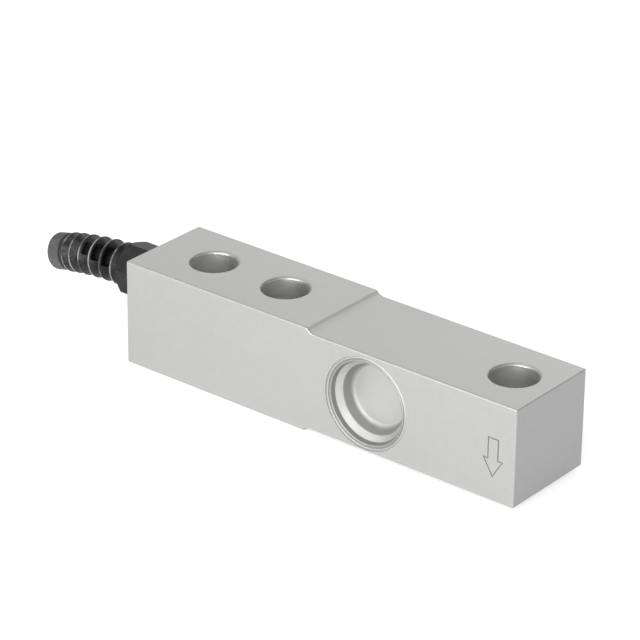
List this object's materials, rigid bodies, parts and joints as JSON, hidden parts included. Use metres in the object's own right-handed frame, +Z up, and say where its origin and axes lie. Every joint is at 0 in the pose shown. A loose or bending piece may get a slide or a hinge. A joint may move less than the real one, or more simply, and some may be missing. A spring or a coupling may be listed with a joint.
{
  "type": "single-ended shear beam load cell",
  "caption": "Stainless bar load cell with bolt holes at its fixed end, a load hole at the other, welded round cup covers in both sides and a black cable gland with a ribbed tail.",
  "frame": {"origin": "centre of the two fixed-end holes, on the bottom mounting face", "axes": "+X along the beam towards the load end, +Z up through the holes, -Y towards the face with the engraved arrow"},
  "size_m": [0.1748, 0.03, 0.0304],
  "materials": {
    "beam_steel": "bead-blasted satin stainless steel",
    "cover_steel": "satin stainless sheet",
    "gland_plastic": "moulded black, semi-gloss",
    "seal_rubber": "matte black rubber",
    "gauge_foil": "amber carrier film with metal foil grids",
    "board_laminate": "green glass-fibre laminate",
    "wire_insulation": "thin insulated wire",
    "coating_rubber": "soft translucent silicone",
    "resistor_body": "ceramic chips",
    "potting_resin": "cast epoxy"
  },
  "bodies": {
    "root": {"beam_body": "beam_steel", "cup_cover_near": "cover_steel", "cup_cover_far": "cover_steel", "strain_gauge_near": "gauge_foil", "strain_gauge_far": "gauge_foil", "terminal_strip_near": "board_laminate", "terminal_strip_far": "board_laminate", "gauge_wires_near": "wire_insulation", "gauge_wires_far": "wire_insulation", "gauge_coating_near": "coating_rubber", "gauge_coating_far": "coating_rubber", "web_wires": "wire_insulation", "modulus_resistor": "gauge_foil", "trim_board": "board_laminate", "trim_resistors": "resistor_body", "board_wires": "wire_insulation", "lead_wires": "wire_insulation", "channel_seal": "potting_resin", "gland_face_seal": "seal_rubber", "gland_body": "gland_plastic", "gland_cable_seal": "seal_rubber", "gland_tail_nut": "gland_plastic"}
  },
  "joints": []
}
